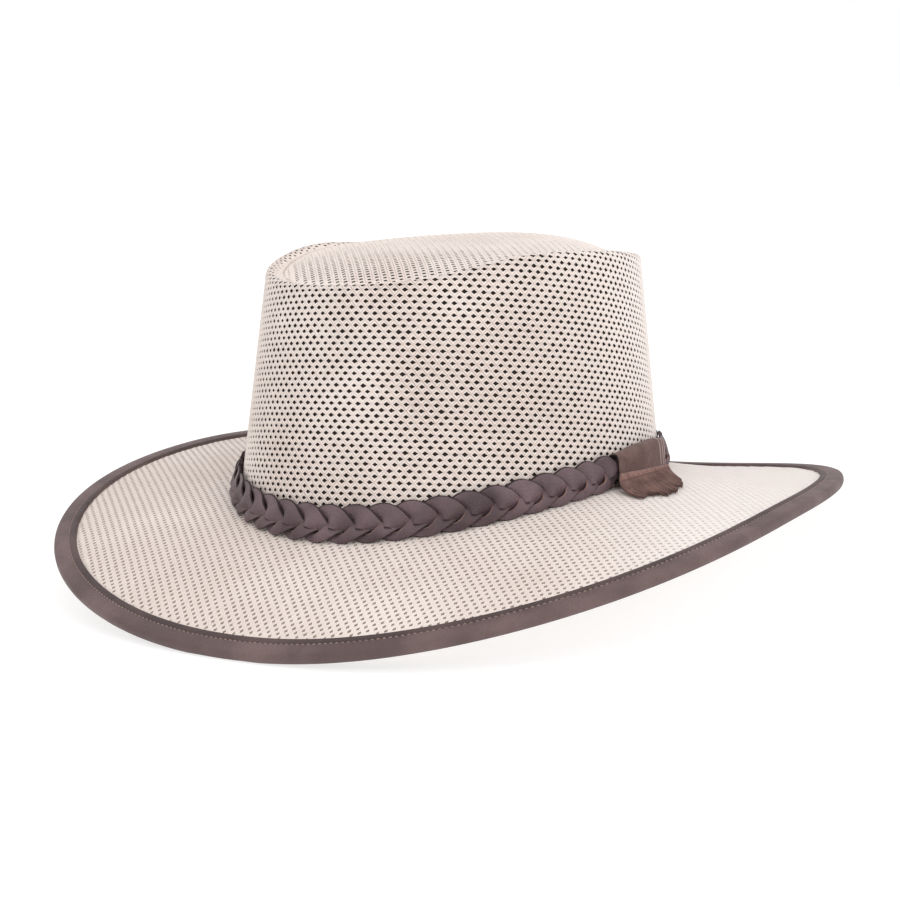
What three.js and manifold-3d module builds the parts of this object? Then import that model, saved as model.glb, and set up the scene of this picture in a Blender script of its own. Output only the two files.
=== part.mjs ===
// A sun hat of open cooling cloth: a tapered oval crown with a slightly domed tip, a wide brim
// that is raised at the sides, a leather edge binding, and a plaited leather band whose joint is
// covered by a suede sleeve with a cut fringe.
//
// Millimetres, +Z up. The hat lies on its front and back brim edges at z = 0, with the front
// towards -Y and the wearer's left towards +X. Angles run round the hat from the wearer's left:
// 90 degrees is the back and 270 degrees the front.

import * as THREE from 'three';
import Module from 'manifold-3d';

// Crown, measured on the outside of the cloth
const HEAD_LENGTH = 206;
const HEAD_WIDTH = 172;
const TIP_LENGTH = 185;
const TIP_WIDTH = 150.5;
const TIP_SET_BACK = 12.4;
const TIP_DOME = 4.4;
const TIP_FULLNESS = 3.8;

// Heights above the table of the crown's foot and of its rim
const FOOT_FRONT = 29.4;
const FOOT_SIDE = 36.2;
const FOOT_BACK = 20.8;
const RIM_HEIGHT = 130;

// The rim dips at the back and rises at the left front corner. Height is the rim's share of
// RIM_HEIGHT, at even steps round the hat from the wearer's left.
const RIM_SHAPE = [
  { height: 1.01 },
  { height: 0.955 },
  { height: 0.92 },
  { height: 0.9 },
  { height: 0.915 },
  { height: 0.975 },
  { height: 1.02 },
  { height: 1.005 },
  { height: 0.985 },
  { height: 0.985 },
  { height: 1 },
  { height: 1.04 },
];

// Rim ridge, and the groove inside it where wall and tip are sewn together
const RIM_ROUND = 2.6;
const LIP_WIDTH = 4.5;
const LIP_SLOPE = THREE.MathUtils.degToRad(24);

// Brim, from the crown's foot to the outer edge of the binding. Half way out it stands above
// a straight line at the front and below it at the back.
const BRIM_FRONT = 68.6;
const BRIM_SIDE = 76;
const BRIM_BACK = 68.6;
const BRIM_SQUARENESS = 2.3;
const BRIM_FRONT_BULGE = 2;
const BRIM_BACK_DISH = 2.4;
const LIFT_LEFT = 27.3;
const LIFT_RIGHT = 31.1;
const LIFT_SHOULDER = 1.5;

// Cloth, leather and the clearance between neighbouring pieces
const CLOTH = 1.6;
const CLEARANCE = 0.3;
const BINDING_LEATHER = 1.2;
const BINDING_LEAF = 8.6;
const REST_FLAT = 0.8;

// Plaited band
const BAND_HEIGHT = 14;
const BAND_THICKNESS = 3.9;
const BAND_LOBES = 54;

// Suede sleeve over the band's joint, and its fringe
const SLEEVE_START = THREE.MathUtils.degToRad(-7.5);
const SLEEVE_END = THREE.MathUtils.degToRad(18.5);
const SLEEVE_SUEDE = 1.5;
const SLEEVE_HEIGHT = 14.6;
const SLEEVE_FILLING = 3;
const FRINGE_SUEDE = 1.3;
const FRINGE_HEAD = 6;
const FRINGE_REACH = 26;
const FRINGE_SLIT = 0.05;

// The fringe's strips from front to back. Across is where a strip ends, as a share of the
// sleeve's length, reach its share of FRINGE_REACH, and sweep how far its tip is carried
// forward, as a share of the sleeve's length.
const FRINGE_STRIPS = [
  { across: 0.12, reach: 0.8, sweep: 0.1 },
  { across: 0.26, reach: 0.91, sweep: 0.21 },
  { across: 0.41, reach: 0.98, sweep: 0.28 },
  { across: 0.56, reach: 1, sweep: 0.33 },
  { across: 0.71, reach: 0.97, sweep: 0.36 },
  { across: 0.86, reach: 0.87, sweep: 0.36 },
  { across: 1, reach: 0.7, sweep: 0.34 },
];

// Steps round the hat
const RING_STEPS = 96;
const SLEEVE_STEPS = 8;

const UP = new THREE.Vector3(0, 0, 1);
const FULL_TURN = 2 * Math.PI;

const point = (x, y, z) => new THREE.Vector3(x, y, z);
const between = (a, b, share) => a.clone().lerp(b, share);
const along = (start, ...moves) => moves.reduce(
  (sum, [direction, distance]) => sum.addScaledVector(direction, distance), start.clone());

// A height that is set at the front, left, back and right, and runs smoothly between them
function heightAt(front, left, back, right, angle) {
  const c = Math.cos(angle);
  const s = Math.sin(angle);
  const sides = (left + right) / 2 * c * c + (left - right) / 2 * c;
  const ends = (front + back) / 2 * s * s + (back - front) / 2 * s;
  return sides + ends;
}

// A point on an oval, which is an ellipse at squareness 2 and squarer above it
function oval(angle, halfWidth, halfLength, squareness) {
  const c = Math.cos(angle);
  const s = Math.sin(angle);
  const size = (Math.abs(c) ** squareness + Math.abs(s) ** squareness) ** (-1 / squareness);
  return [halfWidth * c * size, halfLength * s * size];
}

function footPoint(angle) {
  const [x, y] = oval(angle, HEAD_WIDTH / 2, HEAD_LENGTH / 2, 2);
  return point(x, y, heightAt(FOOT_FRONT, FOOT_SIDE, FOOT_BACK, FOOT_SIDE, angle));
}

// The rim's share of its height at any angle, on a smooth closed curve through RIM_SHAPE
const rimCurve = new THREE.CatmullRomCurve3(RIM_SHAPE.map(({ height }) => point(0, 0, height)),
  true, 'catmullrom', 0.5);

function rimShare(angle) {
  return rimCurve.getPoint(THREE.MathUtils.euclideanModulo(angle / FULL_TURN, 1)).z;
}

function rimPoint(angle) {
  const [x, y] = oval(angle, TIP_WIDTH / 2, TIP_LENGTH / 2, 2);
  return point(x, y + TIP_SET_BACK, RIM_HEIGHT * rimShare(angle));
}

// The crown's wall at one angle: its foot and rim, the way up it and the way out of it
function wallFrame(angle) {
  const step = 1e-4;
  const foot = footPoint(angle);
  const rim = rimPoint(angle);
  const up = rim.clone().sub(foot).normalize();
  const round = footPoint(angle + step).sub(footPoint(angle - step));
  const out = round.cross(up).normalize();
  return { foot, rim, up, out };
}

// A place on the wall, by its height above the foot and its distance out from the cloth
function offWall(angle, height, distance) {
  const { foot, up, out } = wallFrame(angle);
  return along(foot, [up, height], [out, distance]);
}

// Meshes from rows of points. Every row has the same number of points and closes on itself.
// The last row either joins the first or both are covered by a cap round their middle.
function loft(rows, joined) {
  const count = rows[0].length;
  const points = rows.flat();
  const faces = [];
  const spans = joined ? rows.length : rows.length - 1;
  for (let i = 0; i < spans; i += 1) {
    const here = i * count;
    const next = ((i + 1) % rows.length) * count;
    for (let j = 0; j < count; j += 1) {
      const k = (j + 1) % count;
      faces.push([here + j, next + j, next + k], [here + j, next + k, here + k]);
    }
  }
  if (!joined) {
    const last = (rows.length - 1) * count;
    const first = points.push(middle(rows[0])) - 1;
    const end = points.push(middle(rows[rows.length - 1])) - 1;
    for (let j = 0; j < count; j += 1) {
      const k = (j + 1) % count;
      faces.push([first, j, k], [end, last + k, last + j]);
    }
  }
  return outward(points, faces);
}

const middle = (row) => row.reduce((sum, p) => sum.add(p), point(0, 0, 0)).divideScalar(row.length);

// A geometry whose faces point out, whichever way its rows were listed
function outward(points, faces) {
  let volume = 0;
  const normal = new THREE.Vector3();
  for (const [a, b, c] of faces) volume += normal.crossVectors(points[b], points[c]).dot(points[a]);
  const turned = volume > 0 ? faces : faces.map(([a, b, c]) => [a, c, b]);
  const geometry = new THREE.BufferGeometry();
  geometry.setAttribute('position', new THREE.Float32BufferAttribute(points.flatMap((p) => p.toArray()), 3));
  geometry.setIndex(turned.flat());
  return geometry;
}

// A closed section carried once round the hat
function ring(section, steps) {
  return loft(Array.from({ length: steps }, (_, i) => section(i * FULL_TURN / steps, i)), true);
}

// Crown wall: straight from foot to rim, turned over the rim and down into the groove
function lipFrame(angle) {
  const { rim, up, out } = wallFrame(angle);
  const inward = point(-rim.x, TIP_SET_BACK - rim.y, 0).normalize();
  const lip = inward.clone().multiplyScalar(Math.cos(LIP_SLOPE)).addScaledVector(UP, -Math.sin(LIP_SLOPE));
  const lipUp = UP.clone().multiplyScalar(Math.cos(LIP_SLOPE)).addScaledVector(inward, Math.sin(LIP_SLOPE));
  const bend = along(rim, [out, -RIM_ROUND], [up, -RIM_ROUND]);
  return { lip, lipUp, bend };
}

function wallSection(angle) {
  const { foot, up, out } = wallFrame(angle);
  const { lip, lipUp, bend } = lipFrame(angle);
  const bottom = along(foot, [up, -CLOTH]);
  const top = along(bend, [out, RIM_ROUND]);
  const skin = [0, 0.35, 0.7, 1].map((share) => ({ at: between(bottom, top, share), normal: out }));
  for (const share of [0.33, 0.67, 1]) {
    const normal = between(out, lipUp, share).normalize();
    skin.push({ at: along(bend, [normal, RIM_ROUND]), normal });
  }
  skin.push({ at: along(bend, [lipUp, RIM_ROUND], [lip, LIP_WIDTH]), normal: lipUp });
  return sheetSection(skin, CLOTH);
}

// Both faces of a sheet at one angle, from its outer skin and the way out of it
function sheetSection(skin, thickness) {
  const inner = skin.map(({ at, normal }) => along(at, [normal, -thickness]));
  return [...skin.map(({ at }) => at), ...inner.reverse()];
}

// Crown tip: a shallow dome that starts in the groove, at the end of the wall's lip
function tipEdge(angle) {
  const { lip, lipUp, bend } = lipFrame(angle);
  return along(bend, [lipUp, RIM_ROUND], [lip, LIP_WIDTH + CLEARANCE]);
}

const TIP_CENTRE = point(0, TIP_SET_BACK, RIM_HEIGHT + TIP_DOME);

function tipSkin(angle, share) {
  const edge = tipEdge(angle);
  const at = between(TIP_CENTRE, edge, share);
  at.z = TIP_CENTRE.z + (edge.z - TIP_CENTRE.z) * share ** TIP_FULLNESS;
  return at;
}

function tipNormal(angle, share) {
  const step = 1e-3;
  const round = tipSkin(angle + step, share).sub(tipSkin(angle - step, share));
  const out = tipSkin(angle, share + step).sub(tipSkin(angle, share - step));
  return out.cross(round).normalize();
}

function crownTip() {
  const shares = [0.3, 0.55, 0.75, 0.9, 1];
  const rows = Array.from({ length: RING_STEPS }, (_, i) => {
    const angle = i * FULL_TURN / RING_STEPS;
    const skin = shares.map((share) => ({ at: tipSkin(angle, share), normal: tipNormal(angle, share) }));
    return sheetSection(skin, CLOTH);
  });
  return disc(rows, TIP_CENTRE, along(TIP_CENTRE, [UP, -CLOTH]));
}

// A round sheet: rows run out over its top and back under it, between two centre points
function disc(rows, topCentre, underCentre) {
  const count = rows[0].length;
  const points = rows.flat();
  const top = points.push(topCentre) - 1;
  const under = points.push(underCentre) - 1;
  const faces = [];
  rows.forEach((row, i) => {
    const here = i * count;
    const next = ((i + 1) % rows.length) * count;
    faces.push([top, here, next], [under, next + count - 1, here + count - 1]);
    for (let j = 0; j < count - 1; j += 1) {
      faces.push([here + j, here + j + 1, next + j + 1], [here + j, next + j + 1, next + j]);
    }
  });
  return outward(points, faces);
}

// Brim: ruled from the crown's foot to its edge, with a slight bulge or dish between them
const BINDING_THICKNESS = CLOTH + 2 * CLEARANCE + 2 * BINDING_LEATHER;

function edgePoint(angle) {
  const brimEnd = Math.sin(angle) > 0 ? BRIM_BACK : BRIM_FRONT;
  const nose = CLEARANCE + BINDING_LEATHER;
  const halfWidth = HEAD_WIDTH / 2 + BRIM_SIDE - nose;
  const halfLength = HEAD_LENGTH / 2 + brimEnd - nose;
  const [x, y] = oval(angle, halfWidth, halfLength, BRIM_SQUARENESS);
  const lift = heightAt(0, LIFT_LEFT, 0, LIFT_RIGHT, angle) + LIFT_SHOULDER * Math.sin(2 * angle) ** 2;
  return point(x, y, lift + BINDING_THICKNESS / 2 + CLOTH / 2 - REST_FLAT);
}

function brimSkin(angle, share) {
  const start = offWall(angle, 0, CLEARANCE);
  const at = between(start, edgePoint(angle), share);
  at.z += heightAt(BRIM_FRONT_BULGE, 0, -BRIM_BACK_DISH, 0, angle) * 4 * share * (1 - share);
  return at;
}

function brimNormal(angle, share) {
  const step = 1e-3;
  const round = brimSkin(angle + step, share).sub(brimSkin(angle - step, share));
  const out = brimSkin(angle, share + step).sub(brimSkin(angle, share - step));
  return out.cross(round).normalize();
}

// The brim's thickness runs along the wall at the foot and square to the cloth at the edge
function brimSection(angle) {
  const { up } = wallFrame(angle);
  const shares = [0, 0.22, 0.48, 0.74, 1];
  const skin = shares.map((share) => brimSkin(angle, share));
  const under = shares.map((share, i) => {
    const normal = brimNormal(angle, share);
    const through = between(up, normal, share).normalize();
    return along(skin[i], [through, -CLOTH / through.dot(normal)]);
  });
  return [...skin, ...under.reverse()];
}

// Binding: a leather strip folded round the brim's edge, pressed flat where the hat rests
function bindingProfile() {
  const half = BINDING_THICKNESS / 2;
  const pocket = CLOTH / 2 + CLEARANCE;
  const nose = CLEARANCE + BINDING_LEATHER;
  const fold = [90, 40, 0, -35, -65, -90].map((degrees) => {
    const turn = THREE.MathUtils.degToRad(degrees);
    return [nose * Math.cos(turn), half * Math.sin(turn)];
  });
  return [
    [-BINDING_LEAF, half],
    ...fold,
    [-BINDING_LEAF, -half],
    [-BINDING_LEAF, -pocket],
    [CLEARANCE, -pocket],
    [CLEARANCE, pocket],
    [-BINDING_LEAF, pocket],
  ];
}

function bindingSection(angle) {
  const out = brimSkin(angle, 1).sub(brimSkin(angle, 0.99)).normalize();
  const normal = brimNormal(angle, 1);
  const middleOfCloth = along(brimSkin(angle, 1), [normal, -CLOTH / 2]);
  return bindingProfile().map(([a, b]) => {
    const at = along(middleOfCloth, [out, a], [normal, b]);
    at.z = Math.max(at.z, 0);
    return at;
  });
}

// How far the band is squeezed by the sleeve: 1 inside it, 0 away from it
function squeeze(angle) {
  const margin = FULL_TURN / (2 * BAND_LOBES);
  const centre = (SLEEVE_START + SLEEVE_END) / 2;
  const turn = THREE.MathUtils.euclideanModulo(angle - centre + Math.PI, FULL_TURN) - Math.PI;
  const past = Math.abs(turn) - (SLEEVE_END - SLEEVE_START) / 2 - margin;
  return 1 - THREE.MathUtils.smoothstep(past, 0, 2 * margin);
}

// Plaited band: leaves stand proud in turn on its upper and its lower half
function bandSection(angle, index) {
  const held = squeeze(angle);
  const mix = (free, inSleeve) => THREE.MathUtils.lerp(free, inSleeve, held);
  const back = mix(CLEARANCE, 2 * CLEARANCE + SLEEVE_SUEDE);
  const thick = mix(BAND_THICKNESS, SLEEVE_FILLING);
  const bottom = mix(CLEARANCE, 2 * CLEARANCE + SLEEVE_SUEDE);
  const height = mix(BAND_HEIGHT, SLEEVE_HEIGHT - 2 * SLEEVE_SUEDE - 2 * CLEARANCE);
  const upper = index % 2 === 0 ? 1 : 0.82;
  const lower = index % 2 === 0 ? 0.82 : 1;
  const profile = [
    [0, 0.16],
    [0, 0.84],
    [0.45, 0.94 + (upper - 0.82) / 3],
    [upper, 0.74],
    [0.84, 0.5],
    [lower, 0.26],
    [0.45, 0.06 - (lower - 0.82) / 3],
  ];
  return profile.map(([out, up]) => offWall(angle, bottom + up * height, back + out * thick));
}

// Sleeve: one closed tube of suede round the squeezed band
function sleeveOutline(angle, inset) {
  const near = CLEARANCE + inset;
  const high = SLEEVE_HEIGHT - 2 * inset;
  const deep = 2 * SLEEVE_SUEDE + 2 * CLEARANCE + SLEEVE_FILLING - 2 * inset;
  const corners = [[0, 0.12], [0, 0.88], [0.15, 1], [0.8, 1], [1, 0.85], [1, 0.15], [0.8, 0], [0.15, 0]];
  return corners.map(([out, up]) => offWall(angle, near + up * high, near + out * deep));
}

function sleeve() {
  const angles = Array.from({ length: SLEEVE_STEPS + 1 },
    (_, i) => THREE.MathUtils.lerp(SLEEVE_START, SLEEVE_END, i / SLEEVE_STEPS));
  const outer = angles.map((angle) => sleeveOutline(angle, 0));
  const inner = angles.map((angle) => sleeveOutline(angle, SLEEVE_SUEDE)).reverse();
  return loft([...outer, ...inner], true);
}

// Fringe: its underside hangs from the sleeve's face and comes to lie on the brim
function fringeTrait(across, trait) {
  const stations = [{ ...FRINGE_STRIPS[0], across: 0 }, ...FRINGE_STRIPS];
  const next = Math.max(1, stations.findIndex((row) => row.across >= across - 1e-9));
  const [a, b] = [stations[next - 1], stations[next]];
  return THREE.MathUtils.mapLinear(across, a.across, b.across, a[trait], b[trait]);
}

function fringeUnder(across, share) {
  const face = 2 * SLEEVE_SUEDE + 4 * CLEARANCE + SLEEVE_FILLING;
  const root = THREE.MathUtils.lerp(SLEEVE_START, SLEEVE_END, across);
  const tip = root - fringeTrait(across, 'sweep') * (SLEEVE_END - SLEEVE_START);
  const reach = fringeTrait(across, 'reach') * FRINGE_REACH;
  const lie = (angle, distance) => {
    const width = brimSkin(angle, 1).distanceTo(brimSkin(angle, 0));
    const at = distance / width;
    return along(brimSkin(angle, at), [brimNormal(angle, at), 2 * CLEARANCE]);
  };
  const start = offWall(root, FRINGE_HEAD, face);
  const turn = lie(root, face);
  const end = lie(tip, reach);
  const curve = new THREE.QuadraticBezierCurve3(start, turn, end);
  return curve.getPoint(share);
}

function fringeNormal(across, share) {
  const step = 1e-3;
  const [a, b] = [Math.max(0, across - step), Math.min(1, across + step)];
  const [c, d] = [Math.max(0, share - step), Math.min(1, share + step)];
  const over = fringeUnder(b, share).sub(fringeUnder(a, share));
  const down = fringeUnder(across, d).sub(fringeUnder(across, c));
  return down.cross(over).normalize();
}

// A piece of the fringe between two strips' edges and two shares of its length
function fringePatch(acrosses, shares, lift, thickness) {
  const rows = shares.map((share) => {
    const under = acrosses.map((across) => along(fringeUnder(across, share),
      [fringeNormal(across, share), lift]));
    const over = acrosses.map((across) => along(fringeUnder(across, share),
      [fringeNormal(across, share), lift + thickness]));
    return [...under, ...over.reverse()];
  });
  return loft(rows, false);
}

const wasm = await Module();
wasm.setup();

function solid(geometry) {
  const position = geometry.getAttribute('position');
  return new wasm.Manifold(new wasm.Mesh({
    numProp: 3,
    vertProperties: new Float32Array(position.array),
    triVerts: new Uint32Array(geometry.getIndex().array),
  }));
}

function fringe() {
  const stations = [0, ...FRINGE_STRIPS.map((strip) => strip.across)];
  let whole = solid(fringePatch(stations, [0, 0.14, 0.28, 0.42], 0, FRINGE_SUEDE));
  FRINGE_STRIPS.forEach((strip, i) => {
    const from = stations[i] + FRINGE_SLIT / 2;
    const to = stations[i + 1] - FRINGE_SLIT / 2;
    const rows = [0.36, 0.42, 0.6, 0.8, 1];
    whole = whole.add(solid(fringePatch([from, to], rows, 0.1 * FRINGE_SUEDE, 0.8 * FRINGE_SUEDE)));
  });
  const mesh = whole.getMesh();
  const geometry = new THREE.BufferGeometry();
  geometry.setAttribute('position', new THREE.Float32BufferAttribute(mesh.vertProperties, 3));
  geometry.setIndex(Array.from(mesh.triVerts));
  return geometry;
}

const cloth = new THREE.MeshStandardMaterial({ color: 0xe9dcd3, roughness: 0.9, metalness: 0 });
const bindingLeather = new THREE.MeshStandardMaterial({ color: 0x65534f, roughness: 0.55, metalness: 0 });
const bandLeather = new THREE.MeshStandardMaterial({ color: 0x4c3d3f, roughness: 0.6, metalness: 0 });
const suede = new THREE.MeshStandardMaterial({ color: 0x5b4642, roughness: 0.95, metalness: 0 });

const group = new THREE.Group();

function piece(name, geometry, material) {
  const mesh = new THREE.Mesh(geometry, material);
  mesh.name = name;
  group.add(mesh);
}

piece('crown_wall', ring(wallSection, RING_STEPS), cloth);
piece('crown_tip', crownTip(), cloth);
piece('brim', ring(brimSection, RING_STEPS), cloth);
piece('brim_binding', ring(bindingSection, RING_STEPS), bindingLeather);
piece('hatband', ring(bandSection, 2 * BAND_LOBES), bandLeather);
piece('band_sleeve', sleeve(), suede);
piece('sleeve_fringe', fringe(), suede);

export default group;
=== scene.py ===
# %% [markdown]
# An open cloth sun hat. The imported CAD model is loaded as a fixed frame, and every piece below is
# a finer version of one of its plain solids, in metres and in the same place. The frame's box is
# kept.

# %% Load the frame
import math

import bpy
import numpy as np
from mathutils import Matrix, Vector


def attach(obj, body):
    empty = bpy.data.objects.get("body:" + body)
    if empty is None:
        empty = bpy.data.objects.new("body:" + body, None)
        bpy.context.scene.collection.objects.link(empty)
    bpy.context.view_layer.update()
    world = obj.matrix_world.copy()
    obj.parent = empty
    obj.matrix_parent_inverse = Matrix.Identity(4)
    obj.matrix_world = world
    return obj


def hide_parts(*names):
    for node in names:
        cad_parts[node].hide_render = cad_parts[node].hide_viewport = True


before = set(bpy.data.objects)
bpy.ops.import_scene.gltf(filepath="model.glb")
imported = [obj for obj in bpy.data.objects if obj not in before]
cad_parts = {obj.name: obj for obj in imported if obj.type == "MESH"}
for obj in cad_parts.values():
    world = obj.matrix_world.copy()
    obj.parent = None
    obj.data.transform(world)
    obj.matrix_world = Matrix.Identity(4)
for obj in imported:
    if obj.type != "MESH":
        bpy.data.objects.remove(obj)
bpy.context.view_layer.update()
print("frame nodes:", ", ".join(sorted(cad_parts)))

# %% [markdown]
# The sizes are the ones that the CAD model was cut to. Angles run round the hat from the wearer's
# left, which is +X: the back is at 90 degrees and the front at 270 degrees.

# %% Sizes of the hat
MM = 0.001
FULL_TURN = 2 * math.pi
FRONT = 1.5 * math.pi
HEAD_LENGTH = 206 * MM
HEAD_WIDTH = 172 * MM
TIP_LENGTH = 185 * MM
TIP_WIDTH = 150.5 * MM
TIP_SET_BACK = 12.4 * MM
TIP_DOME = 4.4 * MM
TIP_FULLNESS = 3.8
FOOT_FRONT = 29.4 * MM
FOOT_SIDE = 36.2 * MM
FOOT_BACK = 20.8 * MM
RIM_HEIGHT = 130 * MM
RIM_SHARES = (1.01, 0.955, 0.92, 0.9, 0.915, 0.975, 1.02, 1.005, 0.985, 0.985, 1, 1.04)
RIM_ROUND = 2.6 * MM
LIP_WIDTH = 4.5 * MM
LIP_SLOPE = math.radians(24)
BRIM_END = 68.6 * MM
BRIM_SIDE = 76 * MM
BRIM_SQUARENESS = 2.3
BRIM_FRONT_BULGE = 2 * MM
BRIM_BACK_DISH = 2.4 * MM
LIFT_LEFT = 27.3 * MM
LIFT_RIGHT = 31.1 * MM
LIFT_SHOULDER = 1.5 * MM
CLOTH = 1.6 * MM
CLEARANCE = 0.3 * MM
BINDING_LEATHER = 1.2 * MM
BINDING_LEAF = 8.6 * MM
REST_FLAT = 0.8 * MM
BAND_HEIGHT = 14 * MM
BAND_THICKNESS = 3.9 * MM
BAND_LOBES = 54
SLEEVE_START = math.radians(-7.5)
SLEEVE_END = math.radians(18.5)
SLEEVE_SUEDE = 1.5 * MM
SLEEVE_HEIGHT = 14.6 * MM
SLEEVE_FILLING = 3 * MM
FRINGE_SUEDE = 1.3 * MM
FRINGE_HEAD = 6 * MM
FRINGE_REACH = 26 * MM
BINDING_THICKNESS = CLOTH + 2 * CLEARANCE + 2 * BINDING_LEATHER

# %% [markdown]
# The hat's surfaces are worked out for whole arrays of angles at once, which is what makes a net
# of thousands of holes quick to build. These are the same formulas as in the CAD model: an oval
# foot, a rim that dips at the back, and a wall that is straight between them.

# %% Foot, rim and wall
def stacked(*parts):
    return np.stack(np.broadcast_arrays(*parts), axis=-1)


def each(numbers):
    """Numbers with one more axis, so that they scale whole vectors."""
    return np.asarray(numbers, float)[..., None]


def length_of(vectors):
    return np.linalg.norm(vectors, axis=-1)


def unit(vectors):
    return vectors / each(length_of(vectors))


def smooth(share):
    share = np.clip(share, 0, 1)
    return share * share * (3 - 2 * share)


def height_at(front, left, back, right, angle):
    c, s = np.cos(angle), np.sin(angle)
    sides = (left + right) / 2 * c * c + (left - right) / 2 * c
    return sides + (front + back) / 2 * s * s + (back - front) / 2 * s


def oval(angle, half_width, half_length, squareness):
    c, s = np.cos(angle), np.sin(angle)
    size = (np.abs(c) ** squareness + np.abs(s) ** squareness) ** (-1 / squareness)
    return half_width * c * size, half_length * s * size


def foot_at(angle):
    x, y = oval(angle, HEAD_WIDTH / 2, HEAD_LENGTH / 2, 2)
    return stacked(x, y, height_at(FOOT_FRONT, FOOT_SIDE, FOOT_BACK, FOOT_SIDE, angle))


def rim_share(angle):
    shares = np.array(RIM_SHARES, float)
    place = np.mod(np.asarray(angle) / FULL_TURN, 1) * len(shares)
    index = np.floor(place).astype(int)
    t = place - index
    before, here, after, beyond = (shares[(index + k) % len(shares)] for k in (-1, 0, 1, 2))
    rise, fall = (after - before) / 2, (beyond - here) / 2
    bend_2 = 3 * (after - here) - 2 * rise - fall
    bend_3 = 2 * (here - after) + rise + fall
    return here + rise * t + bend_2 * t ** 2 + bend_3 * t ** 3


def rim_at(angle):
    x, y = oval(angle, TIP_WIDTH / 2, TIP_LENGTH / 2, 2)
    return stacked(x, y + TIP_SET_BACK, RIM_HEIGHT * rim_share(angle))


def wall_frame(angle):
    """Foot and rim of the crown's wall, the way up it and the way out of it."""
    step = 1e-4
    foot, rim = foot_at(angle), rim_at(angle)
    up = unit(rim - foot)
    around = foot_at(angle + step) - foot_at(angle - step)
    return foot, rim, up, unit(np.cross(around, up))


def off_wall(angle, height, distance):
    foot, _, up, out = wall_frame(angle)
    return foot + up * each(height) + out * each(distance)


def lip_frame(angle):
    """The turned-in lip at the rim: the way along it, the way out of it and the bend's middle."""
    _, rim, up, out = wall_frame(angle)
    inward = unit(stacked(-rim[..., 0], TIP_SET_BACK - rim[..., 1], 0.0))
    high = np.array((0, 0, 1.0))
    lip = inward * math.cos(LIP_SLOPE) - high * math.sin(LIP_SLOPE)
    lip_up = high * math.cos(LIP_SLOPE) + inward * math.sin(LIP_SLOPE)
    return lip, lip_up, rim - (out + up) * RIM_ROUND


around_foot = foot_at(np.linspace(0, FULL_TURN, 721))
FOOT_ROUND = float(length_of(np.diff(around_foot, axis=0)).sum())
print(f"the crown's foot measures {FOOT_ROUND / MM:.0f} mm round")

# %% [markdown]
# The tip is a shallow dome and the brim a saddle. Both are stretched between two edges: a share
# of 0 is the middle of the tip or the crown's foot, and a share of 1 is the outer edge.

# %% Tip and brim
TIP_CENTRE = np.array((0, TIP_SET_BACK, RIM_HEIGHT + TIP_DOME))


def tip_edge(angle):
    lip, lip_up, bend = lip_frame(angle)
    return bend + lip_up * RIM_ROUND + lip * LIP_WIDTH


def tip_at(angle, share):
    edge = tip_edge(angle)
    place = TIP_CENTRE + (edge - TIP_CENTRE) * each(share)
    place[..., 2] = TIP_CENTRE[2] + (edge[..., 2] - TIP_CENTRE[2]) * np.abs(share) ** TIP_FULLNESS
    return place


def edge_at(angle):
    nose = CLEARANCE + BINDING_LEATHER
    half_width = HEAD_WIDTH / 2 + BRIM_SIDE - nose
    half_length = HEAD_LENGTH / 2 + BRIM_END - nose
    x, y = oval(angle, half_width, half_length, BRIM_SQUARENESS)
    lift = height_at(0, LIFT_LEFT, 0, LIFT_RIGHT, angle) + LIFT_SHOULDER * np.sin(2 * angle) ** 2
    return stacked(x, y, lift + BINDING_THICKNESS / 2 + CLOTH / 2 - REST_FLAT)


def brim_at(angle, share):
    start = off_wall(angle, 0, 0)
    place = start + (edge_at(angle) - start) * each(share)
    place[..., 2] += height_at(BRIM_FRONT_BULGE, 0, -BRIM_BACK_DISH, 0, angle) * 4 * share * (1 - share)
    return place


def brim_width(angle):
    return length_of(edge_at(angle) - off_wall(angle, 0, 0))


def normal_at(surface, angle, share):
    step = 1e-3
    around = surface(angle + step, share) - surface(angle - step, share)
    outward = surface(angle, share + step) - surface(angle, share - step)
    return unit(np.cross(outward, around))


# %% [markdown]
# A mesh is made from plain lists of points and faces. Strips and tubes all come from one helper,
# which joins rows of points, because a ring, a strap and a stitch differ only in their sections.

# %% Mesh helpers
def make_piece(name, points, faces, materials, kinds=None, panel=None, shade=None):
    """A smooth mesh object. Kinds gives each face's material, panel a flat place for each point,
    and shade how dark each point is: painted shade in the dips between yarns and at the cuts and
    tips of a fringe, with each fringe strip's own tone."""
    mesh = bpy.data.meshes.new(name)
    mesh.from_pydata(np.asarray(points, float).reshape(-1, 3).tolist(), [], faces)
    for material in materials:
        mesh.materials.append(material)
    if kinds is not None:
        mesh.polygons.foreach_set("material_index", np.asarray(kinds, np.int32))
    mesh.shade_smooth()
    if panel is not None:
        corners = np.empty(len(mesh.loops), np.int32)
        mesh.loops.foreach_get("vertex_index", corners)
        layer = mesh.uv_layers.new(name="panel")
        layer.data.foreach_set("uv", np.asarray(panel, np.float32)[corners].ravel())
    if shade is not None:
        layer = mesh.attributes.new("shade", "FLOAT", "POINT")
        layer.data.foreach_set("value", np.asarray(shade, np.float32))
    mesh.validate()
    made = bpy.data.objects.new(name, mesh)
    bpy.context.scene.collection.objects.link(made)
    triangles = sum(len(face) - 2 for face in faces)
    print(f"{name}: {triangles} triangles")
    return made


def joined_rows(section, first=0, ring=True):
    """Quads between neighbouring rows of points. A ring joins the last row to the first one."""
    rows, count = section.shape[:2]
    faces = []
    for i in range(rows if ring else rows - 1):
        here, after = first + i * count, first + (i + 1) % rows * count
        for j in range(count):
            k = (j + 1) % count
            faces.append((here + j, here + k, after + k, after + j))
    return faces


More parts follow.
